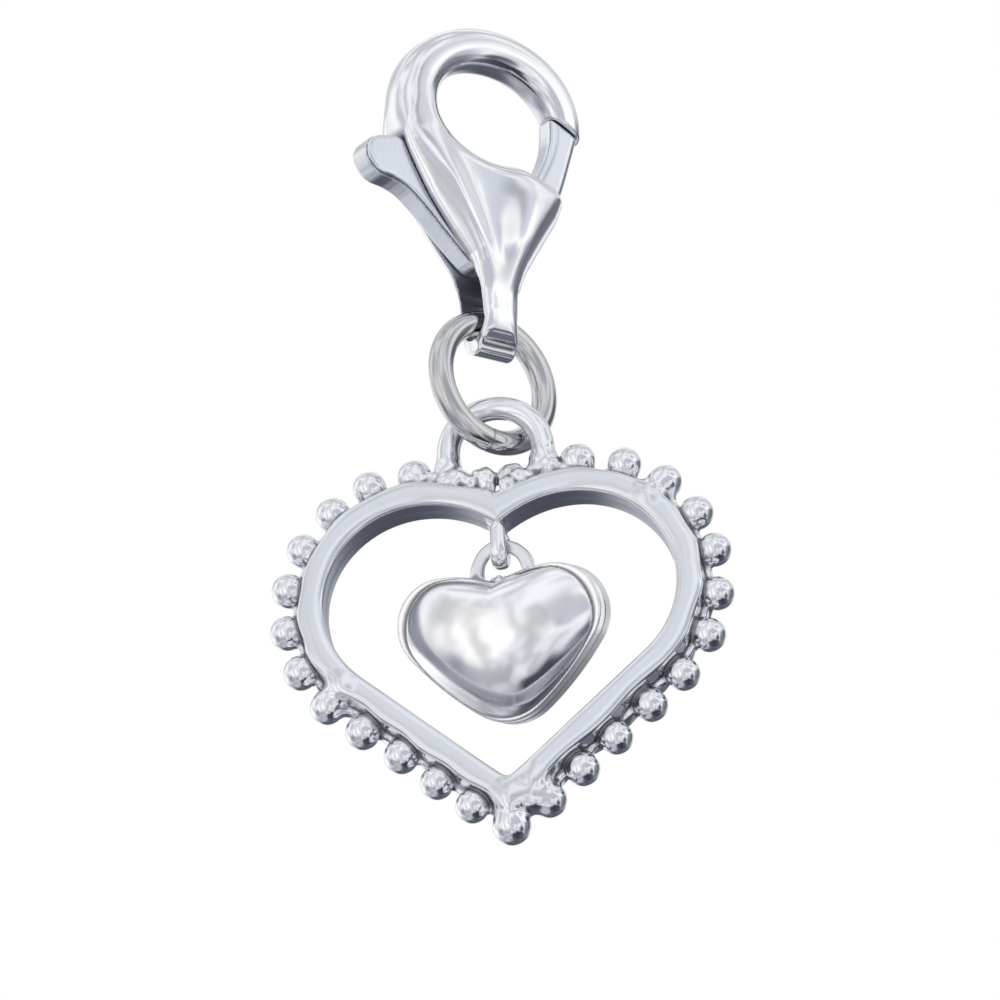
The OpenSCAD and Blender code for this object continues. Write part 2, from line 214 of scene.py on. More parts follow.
# Inner heart: its outline, the turn in its own plane, the bow of its sides, its turn about the
# vertical and how far it leans
INNER_LOBE_R = 1.65
INNER_LOBE_X = 2.0
INNER_DROP = 0.42
INNER_H = 6.45
INNER_TIP_R = 0.75
INNER_TURN = math.radians(1.5)
SIDE_BOW = 0.6
SIDE_BOW_R = 11.0
INNER_YAW = math.radians(-10)
INNER_LEAN = math.radians(18)
# Its puffed front, its side wall, its low back, and the share of the outline that each rises from
DOME_H = 1.3
DOME_SHARE = 0.955
DOME_Z = -2.25
SIDE_T = 1.3
BACK_H = 0.36
BACK_SHARE = 0.97
# Eyelet: how far the heart stays below its middle, the bar's width, its radius outside and
# inside, and its thickness
LOOP_CLEAR = 0.4
EYELET_BAR = 0.44
EYELET_R = 1.16
EYELET_HOLE = 0.72
EYELET_T = 0.34

# Lumps of solder where the eyelet meets the cleft: middle point and radius
EYELET_SOLDER = [
    ((0.02, 0.1, -0.36), 0.17), ((-0.18, 0.0, -0.3), 0.13), ((0.2, -0.05, -0.3), 0.14),
    ((-0.05, -0.12, -0.25), 0.15), ((0.1, 0.2, -0.44), 0.12), ((-0.12, 0.16, -0.42), 0.12),
]

# Big lumps of solder at the bail's feet. Columns: place across, place to the front, height above
# the rail's edge, radius
FOOT_SOLDER = [
    (-2.6, 0.15, 0.2, 0.36), (-2.15, 0.15, 0.24, 0.34), (-1.3, 0.25, 0.3, 0.4), (-0.95, 0.3, 0.2, 0.3),
    (-0.8, 0.0, 0.42, 0.24), (-0.3, 0.1, 0.5, 0.24), (0.62, 0.15, 0.34, 0.28), (1.05, 0.25, 0.2, 0.28),
    (1.3, 0.1, 0.42, 0.26), (2.05, 0.2, 0.24, 0.3), (2.35, 0.1, 0.12, 0.26),
]

# Colour of the walls that the polishing wheel doesn't reach, darkened as painted shade
SATIN_AND_SHADE = (0.5, 0.52, 0.57)
# Colour that the hollows are darkened to, as painted shade
SHADE = (0.16, 0.15, 0.15)

# Cell sizes of the meshes
HEART_CELL = 0.063
SHELL_CELL = 0.065
FINE_CELL = 0.05

# Camera, at the photograph's angle. Its distance is in metres
CAMERA_AZIMUTH = 7.5
CAMERA_ELEVATION = -24.0
CAMERA_ROLL = 2.5
CAMERA_DISTANCE = 0.5
SENSOR = 36
IMAGE_PIXELS = 1000
MM_PER_PIXEL = 0.0348
ORIGIN_PIXEL = (479, 71)


def smooth_min(a, b, k):
    h = np.maximum(k - np.abs(a - b), 0) / k
    return np.minimum(a, b) - h * h * k / 4


def smooth_max(a, b, k):
    return -smooth_min(-a, -b, k)


def table(x, rows, column):
    """A column of a table, read along its first column as one smooth curve."""
    xs = np.array([row[0] for row in rows], float)
    ys = np.array([row[column] for row in rows], float)
    if xs[0] > xs[-1]:
        xs, ys = xs[::-1], ys[::-1]
    slope = np.gradient(ys, xs)
    x = np.clip(x, xs[0], xs[-1])
    i = np.clip(np.searchsorted(xs, x) - 1, 0, len(xs) - 2)
    h = xs[i + 1] - xs[i]
    t = (x - xs[i]) / h
    a = (1 + 2 * t) * (1 - t) ** 2 * ys[i] + t * (1 - t) ** 2 * h * slope[i]
    return a + t * t * (3 - 2 * t) * ys[i + 1] + t * t * (t - 1) * h * slope[i + 1]


def polygon(u, w, outline):
    """Signed distance to a closed outline."""
    best = np.full(u.shape, np.inf)
    sign = np.ones(u.shape)
    for (au, aw), (bu, bw) in zip(outline, outline[1:] + outline[:1]):
        eu, ew = bu - au, bw - aw
        t = np.clip(((u - au) * eu + (w - aw) * ew) / (eu * eu + ew * ew), 0, 1)
        best = np.minimum(best, (u - au - eu * t) ** 2 + (w - aw - ew * t) ** 2)
        crossed = (aw > w) != (bw > w)
        left = u < au + eu * (w - aw) / (ew if ew else 1e-9)
        sign = np.where(crossed & left, -sign, sign)
    return sign * np.sqrt(best)


def soften(outline, rounds=2):
    """Cuts the corners of an outline, each round at a fifth of the way along each side."""
    for _ in range(rounds):
        cut = []
        for (au, aw), (bu, bw) in zip(outline, outline[1:] + outline[:1]):
            cut.append((au * 0.8 + bu * 0.2, aw * 0.8 + bw * 0.2))
            cut.append((au * 0.2 + bu * 0.8, aw * 0.2 + bw * 0.8))
        outline = cut
    return outline


def tube(p, path, radii, k):
    """A chain of round cones through the points of a path, joined softly."""
    out = None
    for a, b, ra, rb in zip(path[:-1], path[1:], radii[:-1], radii[1:]):
        a, b = np.array(a, float), np.array(b, float)
        t = np.clip((p - a) @ (b - a) / ((b - a) @ (b - a)), 0, 1)
        d = np.linalg.norm(p - a - t[:, None] * (b - a), axis=1) - (ra + (rb - ra) * t)
        out = d if out is None else smooth_min(out, d, k)
    return out


def noise(p, scale, seed):
    """Smooth waves in many directions, mostly between -1 and 1."""
    rng = np.random.default_rng(seed)
    out = np.zeros(len(p))
    for _ in range(7):
        direction = rng.normal(size=3)
        direction *= scale * rng.uniform(0.6, 1.6) / np.linalg.norm(direction)
        out += np.sin(p @ direction + rng.uniform(0, 2 * math.pi))
    return out / 4


# Meshes from fields

def sample(field, points):
    """Field values at many points, worked out in parts to save memory."""
    parts = np.array_split(points, max(1, len(points) // 200000))
    return np.concatenate([field(part) for part in parts])


def sampled_grid(field, low, count, cell):
    """Field values on a grid, worked out only near the surface."""
    step, reach = 4, 11 * cell
    places = [low[i] + cell * np.arange(count[i]) for i in range(3)]
    grid = np.stack(np.meshgrid(*places, indexing="ij"), axis=-1)
    coarse = sample(field, grid[::step, ::step, ::step].reshape(-1, 3))
    coarse = coarse.reshape([math.ceil(n / step) for n in count])
    for axis in range(3):
        coarse = coarse.repeat(step, axis)
    value = coarse[:count[0], :count[1], :count[2]].copy()
    near = np.abs(value) < reach
    value[near] = sample(field, grid[near])
    return value


def gradient(field, p, h):
    out = np.empty_like(p)
    for axis in range(3):
        step = np.zeros(3)
        step[axis] = h
        out[:, axis] = (sample(field, p + step) - sample(field, p - step)) / (2 * h)
    return out


def window(shape, axis, starts):
    """Slices of a grid: whole along one axis, one short along the others, from the given starts."""
    others = iter(starts)
    out = []
    for i in range(3):
        if i == axis:
            out.append(slice(None))
        else:
            start = next(others)
            out.append(slice(start, shape[i] - 1 + start))
    return tuple(out)


def net(value):
    """One point in each grid cell that the surface crosses, and a quad round each crossed edge."""
    inside = value < 0
    shape = value.shape
    cells = tuple(n - 1 for n in shape)
    total = np.zeros(cells + (3,))
    hits = np.zeros(cells)
    where = np.stack(np.meshgrid(*[np.arange(n, dtype=float) for n in shape], indexing="ij"), axis=-1)
    quads = []
    for axis in range(3):
        a = tuple(slice(0, -1) if i == axis else slice(None) for i in range(3))
        b = tuple(slice(1, None) if i == axis else slice(None) for i in range(3))
        crossed = inside[a] != inside[b]
        gap = np.where(crossed, value[a] - value[b], 1)
        spot = where[a].copy()
        spot[..., axis] += np.where(crossed, value[a] / gap, 0)
        for starts in ((0, 0), (0, 1), (1, 0), (1, 1)):
            view = window(shape, axis, starts)
            mark = crossed[view]
            total += spot[view] * mark[..., None]
            hits += mark
    number = np.full(cells, -1)
    number[hits > 0] = np.arange(int((hits > 0).sum()))
    for axis in range(3):
        a = tuple(slice(0, -1) if i == axis else slice(1, -1) for i in range(3))
        b = tuple(slice(1, None) if i == axis else slice(1, -1) for i in range(3))
        crossed = inside[a] != inside[b]
        corners = []
        for starts in ((0, 0), (1, 0), (1, 1), (0, 1)):
            corners.append(number[window(cells, axis, starts)][crossed])
        ring = np.stack(corners, axis=1)
        turned = inside[a][crossed] == (axis != 1)
        ring[~turned] = ring[~turned][:, ::-1]
        quads.append(ring)
    points = total[hits > 0] / hits[hits > 0][:, None]
    return points, np.concatenate(quads)


def skin(name, field, low, high, cell, satin_and_shade=None):
    """A mesh of the surface where the field is zero, with exact normals. Its attributes say how
    hollow each point is and where the surface is unpolished, for the painted shade that the
    materials put on both. Points that meet one another on their way to the surface go back to
    where they started, so that no face folds up."""
    low = np.array(low, float) - 2.5 * cell
    count = np.ceil((np.array(high, float) + 2.5 * cell - low) / cell).astype(int) + 1
    points, quads = net(sampled_grid(field, low, count, cell))
    points = low + cell * points
    start = points.copy()
    for _ in range(3):
        slope = gradient(field, points, 0.1 * cell)
        size = np.maximum((slope ** 2).sum(axis=1), 0.09)
        step = slope * (sample(field, points) / size)[:, None]
        length = np.linalg.norm(step, axis=1)
        points -= step * np.minimum(1, 0.5 * cell / np.maximum(length, 1e-9))[:, None]
    edges = np.linalg.norm(points[quads] - points[np.roll(quads, 1, axis=1)], axis=2)
    folded = np.unique(quads[edges.min(axis=1) < 0.02 * cell])
    points[folded] = start[folded]
    # The hollows' mark, which the materials darken as painted shade
    marks = {"crevice": crevices(field, points)}
    if satin_and_shade:
        marks["satin_and_shade"] = satin_and_shade(points)
    return mesh_piece(name, points, quads, gradient(field, points, 0.3 * cell), marks)


def crevices(field, points, h=0.09):
    """How hollow the surface is at each point, from 0 to 1. The materials darken the hollows
    with it as painted shade.
    """
    ways = [sign * np.eye(3)[axis] for axis in range(3) for sign in (-1, 1)]
    around = sum(sample(field, points + h * way) for way in ways)
    return np.clip(-(around - 6 * sample(field, points)) / (h * h) / 9, 0, 1)


def mesh_piece(name, points, quads, normals, marks):
    """An object made of quads, in metres, with its own normals and with its marks as attributes."""
    mesh = bpy.data.meshes.new(name)
    mesh.vertices.add(len(points))
    mesh.vertices.foreach_set("co", (points * MM).astype(np.float32).ravel())
    mesh.loops.add(quads.size)
    mesh.loops.foreach_set("vertex_index", quads.astype(np.int32).ravel())
    mesh.polygons.add(len(quads))
    mesh.polygons.foreach_set("loop_start", np.arange(0, quads.size, 4, dtype=np.int32))
    mesh.update(calc_edges=True)
    mesh.validate()
    mesh.polygons.foreach_set("use_smooth", np.ones(len(mesh.polygons), bool))
    normals = normals / np.maximum(np.linalg.norm(normals, axis=1), 1e-9)[:, None]
    mesh.normals_split_custom_set_from_vertices(normals.astype(np.float32))
    for key, values in marks.items():
        mark = mesh.attributes.new(key, "FLOAT", "POINT")
        mark.data.foreach_set("value", values.astype(np.float32))
    piece = bpy.data.objects.new(name, mesh)
    bpy.context.scene.collection.objects.link(piece)
    return piece


# Clasp

def clasp_plane(p):
    """Coordinates in the clasp's plane: to the right, up, and towards its front."""
    c, s = math.cos(CLASP_YAW), math.sin(CLASP_YAW)
    return p[:, 0] * c + p[:, 1] * s, p[:, 2], p[:, 0] * s - p[:, 1] * c


def clasp_outline(u, w):
    """Distance outwards from the clasp's outline in its plane, with the angle round the opening
    and the hook's thickness there."""
    du, dw = u - OPENING["u"], w - OPENING["w"]
    angle = np.degrees(np.arctan2(dw / OPENING["half_h"], du / OPENING["half_w"]))
    angle = np.where(angle < -90, angle + 360, angle)
    rho = np.hypot(du / OPENING["half_w"], dw / OPENING["half_h"])
    steep = np.hypot(du / OPENING["half_w"] ** 2, dw / OPENING["half_h"] ** 2) / np.maximum(rho, 1e-6)
    out = (rho - 1) / np.maximum(steep, 1e-6)
    thick = table(angle, HOOK, 1)
    past_end = np.maximum(angle - HOOK_ROOT_ANGLE, HOOK_TIP_ANGLE - angle)
    ring = np.maximum(out - thick, past_end * DEGREE_LENGTH)
    sides = [(row[1], row[0]) for row in BODY] + [(row[2], row[0]) for row in BODY[::-1]]
    edge = smooth_min(ring, polygon(u, w, soften(sides, 1)), 0.3)
    return smooth_max(edge, -out, 0.08), angle, thick


def swell(u, w, rows):
    """Height of a soft form that runs down the body."""
    return table(w, rows, 2) * np.exp(-((u - table(w, rows, 1)) / table(w, rows, 3)) ** 2)


def tail(w, f):
    """The strap that curls under to make the eye, whose end laps over itself."""
    down = np.maximum(TAIL_BEND - w, 0) * TAIL_HALF / (TAIL_BEND - TAIL_END)
    turn = np.degrees(np.arctan2(down, np.maximum(f, 1e-3)))
    lap = sum(step / (1 + np.exp((start - turn) * 0.7)) for start, step in LAP_STEPS)
    half = TAIL_HALF + TAIL_SPREAD * smooth_max(w - TAIL_BEND, 0 * w, 0.6)
    return np.hypot(down, f) - half + lap


def clasp_body_field(p):
    """The hook and the two shells in one, with the slot, the hook's cut end and the eye."""
    u, w, f = clasp_plane(p)
    edge, angle, thick = clasp_outline(u, w)
    on_body = (angle > 90) | (w < SHOULDER)
    share = np.clip((BODY_TOP - w) / BODY_BLEND, 0, 1) * on_body
    share = share * share * (3 - 2 * share)
    left = np.maximum(u - table(w, BODY, 1), 0)
    body_roll = EDGE_ROLL - LEFT_ROLL_LESS * np.exp(-left / LEFT_ROLL_REACH)
    roll = thick / 2 * (1 - share) + share * body_roll
    deep = table(angle, HOOK, 2) * (1 - share) + share * table(w, BODY, 3)
    deep = deep + (swell(u, w, RIDGE) + swell(u, w, BULGE)) * on_body
    inward = np.maximum(1 + edge / roll, 0)
    section = inward ** SECTION_POWER + (np.abs(f) / deep) ** SECTION_POWER
    form = (section ** (1 / SECTION_POWER) - 1) * np.minimum(roll, deep)
    form = smooth_max(form, tail(w, f), 0.1)
    gap = SLOT_GAP / 2 + (EYE_GAP - SLOT_GAP) / 2 * np.clip((GAP_WIDENS - w) / GAP_BLEND, 0, 1)
    slot = smooth_max(polygon(u, w, SLOT), np.abs(f) - gap, 0.05)
    form = smooth_max(form, -slot, 0.05)
    swing = np.hypot(u - PIVOT[0], w - PIVOT[1]) - GATE_REACH - GATE_GAP
    tip = np.maximum(swing, np.maximum(HOOK_CUT[0] - u, HOOK_CUT[1] - w))
    form = smooth_max(form, -tip, 0.07)
    eye_w = EYE_FLOOR + EYE_GAP / 2
    eye = np.where(w < eye_w, np.hypot(w - eye_w, f), np.abs(f)) - EYE_GAP / 2
    eye = smooth_max(eye, w - eye_w - EYE_RISE, 0.1)
    return smooth_max(form, -eye, 0.06)


def lever_field(p):
    """A plate with the gate's arm, the thumb tab and a round boss at the pin."""
    u, w, f = clasp_plane(p)
    from_pin = np.hypot(u - PIVOT[0], w - PIVOT[1])
    gate = smooth_max(polygon(u, w, soften(GATE_ARM)), from_pin - GATE_REACH - GATE_PROUD, 0.1)
    thumb = polygon(u, w, soften(THUMB_ARM))
    for cu, cw, r in THUMB_ENDS:
        thumb = smooth_min(thumb, np.hypot(u - cu, w - cw) - r, 0.2)
    plate = smooth_min(smooth_min(gate, thumb, 0.2), from_pin - BOSS_R, 0.2)
    line = np.abs(f - LEVER_T / 2 + EDGE_LINE["behind"]) - EDGE_LINE["half"]
    line = np.maximum(line, np.maximum(-EDGE_LINE["deep"] - plate, u - EDGE_LINE["end"]))
    soft = LEVER_ROUND + GATE_ROUND * np.clip(u - GATE_ROUND_START, 0, 1)
    plate = smooth_max(smooth_max(plate, np.abs(f) - LEVER_T / 2, soft), -line, 0.04)
    return smooth_max(plate, -(from_pin - RIVET_BORE), 0.04)


# Rings

def jump_ring(middle):
    """A round wire bent to a ring, with a soldered seam near its lowest point."""
    around, about = 288, 40
    r = RING_WIRE / 2
    middle_r = RING_OD / 2 - r
    turn = np.arange(around) * 2 * math.pi / around
    bend = np.arange(about) * 2 * math.pi / about
    t, b = np.meshgrid(turn, bend, indexing="ij")
    seam = (t - SEAM_TURN + math.pi) % (2 * math.pi) - math.pi
    wire = r * (1 - 0.05 * np.exp(-(seam / 0.025) ** 2) + 0.012 * np.sin(2 * t + 1) * np.sin(b))
    wire -= r * 0.02 * (1 + np.sin(5 * t) * np.sin(3 * t + 2)) / 2
    reach = middle_r + wire * np.cos(b)
    along, up, side = reach * np.cos(t), reach * np.sin(t), wire * np.sin(b)
    c, s = math.cos(RING_YAW), math.sin(RING_YAW)
    points = np.stack([along * c + side * s, along * s - side * c, up + middle], axis=-1)
    points = points.reshape(-1, 3)
    quads = []
    for i in range(around):
        for j in range(about):
            k, m = (i + 1) % around, (j + 1) % about
            quads.append((i * about + j, k * about + j, k * about + m, i * about + m))
    along, up = middle_r * np.cos(t), middle_r * np.sin(t)
    core = np.stack([along * c, along * s, up + middle], axis=-1).reshape(-1, 3)
    marks = {"crevice": 0.8 * np.exp(-(seam / 0.02) ** 2).ravel()}
    return mesh_piece("jump_ring_wire", points, np.array(quads), points - core, marks)


# Outer heart

def heart_sizes(lx, lr, drop, height):
    """Side angle from the vertical, side length and cleft radius of a heart's outline."""
    away = height - lr
    side = math.atan(lx / away) + math.asin(lr / math.hypot(lx, away))
    return side, math.sqrt(lx * lx + away * away - lr * lr), (lx * lx + drop * drop) / (2 * drop)


def beside_edge(x, z):
    """Distance outwards from the rail's inner edge, with the lobes' top at zero height."""
    side, _, cleft_r = heart_sizes(LOBE_X, LOBE_R, CLEFT_DROP, HEART_H)
    near_tip, near_cleft = np.clip(-7.5 - z, 0, 1), np.clip(z + 3, 0, 1)
    x = np.sqrt(x * x + TIP_ROUND ** 2 * near_tip + CLEFT_ROUND ** 2 * near_cleft)
    du, dw = x - LOBE_X, z + LOBE_R
    lobe = np.hypot(du, dw) - LOBE_R
    line = du * math.cos(side) - dw * math.sin(side) - LOBE_R
    below = du * math.sin(side) + dw * math.cos(side) < 0
    outer = np.where(below, line, lobe)
    cleft = np.hypot(du, z + cleft_r) - cleft_r
    return np.where((du < 0) & (z > -LOBE_R), cleft, outer)


def grain_places():
    """Middle points of the grains beside the rail and of their necks' feet, with the grains'
    diameters, for the right half."""
    side, length, cleft_r = heart_sizes(LOBE_X, LOBE_R, CLEFT_DROP, HEART_H)
    arc_r = LOBE_R + GRAIN_OUT
    spots = []
    last_big = BIG_GRAINS - 1
    for k in range(SIDE_GRAINS):
        s = FIRST_GRAIN + min(k, last_big) * GRAIN_PITCH + max(k - last_big, 0) * SMALL_PITCH
        along = s - length - GRAIN_OUT / math.tan(side)
        for_out = []
        for out in (GRAIN_OUT, GRAIN_OUT - NECK_LENGTH):
            up = along / arc_r - side
            if along < 0:
                x = LOBE_X + (LOBE_R + out) * math.cos(side) + along * math.sin(side)
                z = -LOBE_R - (LOBE_R + out) * math.sin(side) + along * math.cos(side)
            elif up < math.pi / 2:
                x = LOBE_X + (LOBE_R + out) * math.cos(up)
                z = -LOBE_R + (LOBE_R + out) * math.sin(up)
            else:
                left = math.pi / 2 + (up - math.pi / 2) * arc_r / (cleft_r + GRAIN_OUT)
                x = LOBE_X + (cleft_r + out) * math.cos(left)
                z = -cleft_r + (cleft_r + out) * math.sin(left)
            for_out.append((x, z))
        spots.append((for_out[0], for_out[1], GRAIN_D if k < BIG_GRAINS else SMALL_GRAIN_D))
    return spots


def solder_lumps():
    """Small lumps of solder along the rail's top edge, round the bail's feet and in the cleft."""
    rng = np.random.default_rng(11)
    cleft_r = heart_sizes(LOBE_X, LOBE_R, CLEFT_DROP, HEART_H)[2]

    def edge(x):
        return math.sqrt((cleft_r + RAIL_W) ** 2 - (abs(x) - LOBE_X) ** 2) - cleft_r

    lumps = [(np.array([x, f, edge(x) + rise]), r) for x, f, rise, r in FOOT_SOLDER]
    for side in (-1, 1):
        for _ in range(20):
            x = rng.uniform(0.2, 2.5)
            z = edge(x) + rng.uniform(-0.05, 0.42)
            lumps.append((np.array([side * x, rng.uniform(-0.3, 0.5), z]), rng.uniform(0.15, 0.28)))
    return lumps


def rail(x, f, z):
    """The crowned rail, whose outer edge waves a little, and the rough web behind it."""
    out = beside_edge(x, z)
    wave = RAIL_WAVE * np.sin(2.1 * x + 0.7 * z + 1) + RAIL_WAVE * np.sin(3.7 * z - 1.3 * x)
    width = RAIL_W + 0.06 + wave
    crown = RAIL_CROWN * np.abs((out - width / 2) / (width / 2)) ** 3
    front = f - RAIL_HALF + crown
    face = smooth_max(front, -RAIL_HALF - f, 0.05)
    band = smooth_max(-out, (out - width - RAIL_FLARE * (0.3 - f)) * 0.96, 0.05)
    wall = smooth_max(face, band, 0.14)
    low = np.clip((-3.5 - z) / 1.5, 0, 1) * np.clip((z + HEART_H + 0.3) / 1.2, 0, 1)
    crumb = (0.02 + 0.06 * low) * noise(np.stack([x, f, z], axis=1), 7.0, 3)
    web = smooth_max(out - RAIL_W - WEB_OUT + crumb, -out, 0.05)
    web = smooth_max(web, np.abs(f + WEB_BACK) - WEB_HALF + crumb * 0.5, 0.2)
    return smooth_min(wall, web, 0.1)


def inner_wall(p):
    """Where the outer heart's inner wall is, and less strongly where its rail's face is. The
    material makes these rougher and darkens them with painted shade.
    """
    lobe_top = box_mm("heart_frame")[1][2] - BAIL_RISE
    x, f, z = p[:, 0], HEART_Y - p[:, 1], p[:, 2] - lobe_top
    out = beside_edge(x, z)
    wall = np.clip((0.06 - out) / 0.04, 0, 1) * np.clip((RAIL_HALF - 0.1 - np.abs(f)) / 0.08, 0, 1)
    wall *= np.maximum(np.clip((np.abs(x) - LOOP_W / 2 - 0.05) / 0.1, 0, 1), z < -4)
    face = np.clip((f - RAIL_HALF + 0.14) / 0.06, 0, 1) * np.clip((0.95 - out) / 0.2, 0, 1)
    return np.maximum(wall, 0.2 * face)


def clasp_satin_and_shade(p):
    """Where the walls between the clasp's shells are, and less strongly where the hook's inside is.
    The material makes these rougher and darkens them with painted shade.
    """
    u, w, f = clasp_plane(p)
    wall = np.clip((EYE_GAP / 2 + 0.05 - np.abs(f)) / 0.04, 0, 1)
    wall *= np.clip((-3.2 - w) / 0.2, 0, 1) * (w > -9.9)
    rho = np.hypot((u - OPENING["u"]) / OPENING["half_w"], (w - OPENING["w"]) / OPENING["half_h"])
    return np.maximum(wall, 0.4 * np.clip((1.07 - rho) / 0.06, 0, 1))


def outer_heart(lobe_top, grains, flowing):
    """Field of the rail with all that is soldered to it."""
    bail_z = BAIL_RISE - BAIL_WIRE_R - BAIL_R
    lumps = solder_lumps()

    def field(p):
        x, f, z = p[:, 0], HEART_Y - p[:, 1], p[:, 2] - lobe_top
        q = np.stack([x, f, z], axis=1)
        out = rail(x, f, z)
        for (cx, cz), (fx, fz), d, fore in grains:
            near = (np.abs(x - cx) < 1.6) & (np.abs(z - cz) < 1.6)
            if not near.any():
                continue
            spot = q[near]
            grain = np.linalg.norm(spot - (cx, fore, cz), axis=1) - d / 2
            proud = (cx, cz) in flowing
            path = [(cx, fore - 0.05, cz), (fx, 0.26 if proud else -0.15, fz)]
            neck = tube(spot, path, [d * 0.34, d * 0.36], 0.1)
            grain = smooth_min(grain, neck, 0.25 if proud else 0.15)
            out[near] = smooth_min(out[near], grain, 0.38 if proud else 0.12)
        low = z < 2 - HEART_H
        if low.any():
            path = [(0, fore, -HEART_H - under) for fore, under, _ in TIP_STEM]
            stem = tube(q[low], path, [row[2] for row in TIP_STEM], 0.2)
            out[low] = smooth_min(out[low], stem, 0.5)
            middle = (TIP_FILL[0], TIP_FILL[1], -HEART_H - TIP_FILL[2])
            fill = np.linalg.norm(q[low] - middle, axis=1) - TIP_FILL_R
            out[low] = smooth_min(out[low], fill, 0.35)
        y = p[:, 1]
        arch = np.hypot(np.hypot(x, z - bail_z) - BAIL_R, y) - BAIL_WIRE_R
        flare = BAIL_WIRE_R + BAIL_FLARE * np.clip((bail_z - z) / (bail_z - 0.6), 0, 1)
        legs = np.hypot(np.abs(x) - BAIL_R, y) - flare
        bail = np.where(z > bail_z, arch, smooth_max(legs, 0.3 - z, 0.2))
        out = smooth_min(out, bail, 0.25)
        top = z > -0.6
        if top.any():
            spot, part = q[top], out[top]
            for centre, r in lumps:
                part = smooth_min(part, np.linalg.norm(spot - centre, axis=1) - r, 0.14)
            rough = np.clip(1.6 - np.abs(spot[:, 2] - 0.9), 0, 1)
            rough = rough * np.clip(3 - np.abs(spot[:, 0]), 0, 1)
            rough *= np.clip((beside_edge(spot[:, 0], spot[:, 2]) - 0.75) / 0.25, 0, 1)
            out[top] = part + 0.035 * rough * np.clip(part * 4 + 1, 0, 1) * noise(spot, 11.0, 5)
        h = z + LOOP_DROP
        across = y - HEART_Y - LOOP_Y
        reach = np.where(h < 0, np.hypot(across, h), np.abs(across)) - LOOP_R - LOOP_T / 2
        strap = np.abs(reach / (LOOP_T / 2)) ** LOOP_POWER + np.abs(x / (LOOP_W / 2)) ** LOOP_POWER
        strap = strap ** (1 / LOOP_POWER) - 1
        strap = smooth_max(strap * LOOP_T / 2, h - LOOP_DROP + CLEFT_DROP - 0.1, 0.1)
        strap = smooth_max(strap, f - 0.62, 0.3)
        return smooth_min(out, strap, 0.22)

    return field


# Inner heart

def inner_outline(x, z):
    """Distance outwards from the inner heart's outline, with its rounded tip."""
    side, _, cleft_r = heart_sizes(INNER_LOBE_X, INNER_LOBE_R, INNER_DROP, INNER_H + SIDE_BOW)

    def line(a):
        far = SIDE_BOW_R - INNER_LOBE_R
        across = a - INNER_LOBE_X + far * math.cos(side)
        return np.hypot(across, z + INNER_LOBE_R - far * math.sin(side)) - SIDE_BOW_R

    du, dw = np.abs(x) - INNER_LOBE_X, z + INNER_LOBE_R
    below = du * math.sin(side) + dw * math.cos(side) < 0
    blunt = 4 * (INNER_TIP_R - INNER_TIP_R * math.sin(side))
    outer = np.where(below, smooth_max(line(x), line(-x), blunt), np.hypot(du, dw) - INNER_LOBE_R)
    cleft = np.hypot(du, z + cleft_r) - cleft_r
    return np.where((du < 0) & (z > -INNER_LOBE_R), cleft, outer)


def outline_radius():
    """Distance of the outline from the dome's centre, for each degree round it."""
    angle = np.radians(np.arange(-180, 180))
    near, far = np.full(360, 0.1), np.full(360, 6.0)
    for _ in range(40):
        middle = (near + far) / 2
        inside = inner_outline(middle * np.cos(angle), DOME_Z + middle * np.sin(angle)) < 0
        near, far = np.where(inside, middle, near), np.where(inside, far, middle)
    return near


def smoothed(ring, width):
    """A ring of values averaged with its neighbours."""
    reach = np.arange(-3 * width, 3 * width + 1)
    weight = np.exp(-0.5 * (reach / width) ** 2)
    wide = np.concatenate([ring[-3 * width:], ring, ring[:3 * width]])
    return np.convolve(wide, weight / weight.sum(), mode="valid")


def ring_value(ring, angle):
    """A ring of values, read at any angle as a smooth curve."""
    t = (np.degrees(angle) + 180) % 360
    i = np.floor(t).astype(int) % 360
    t = t - np.floor(t)
    a, b, c, d = (ring[(i + k) % 360] for k in (-1, 0, 1, 2))
    return b + 0.5 * t * (c - a + t * (2 * a - 5 * b + 4 * c - d + t * (3 * (b - c) + d - a)))


def eyelet_satin_and_shade(pivot):
    """Marks the eyelet nearly half as rough and dark as the unpolished walls, with painted shade,
    so that it mirrors less than the heart.
    """
    def mark(p):
        q = p - pivot
        high = np.clip((q[:, 2] + 1.05) / 0.15, 0, 1)
        return 0.45 * high * np.clip((1.1 - np.abs(q[:, 0])) / 0.15, 0, 1)

    return mark


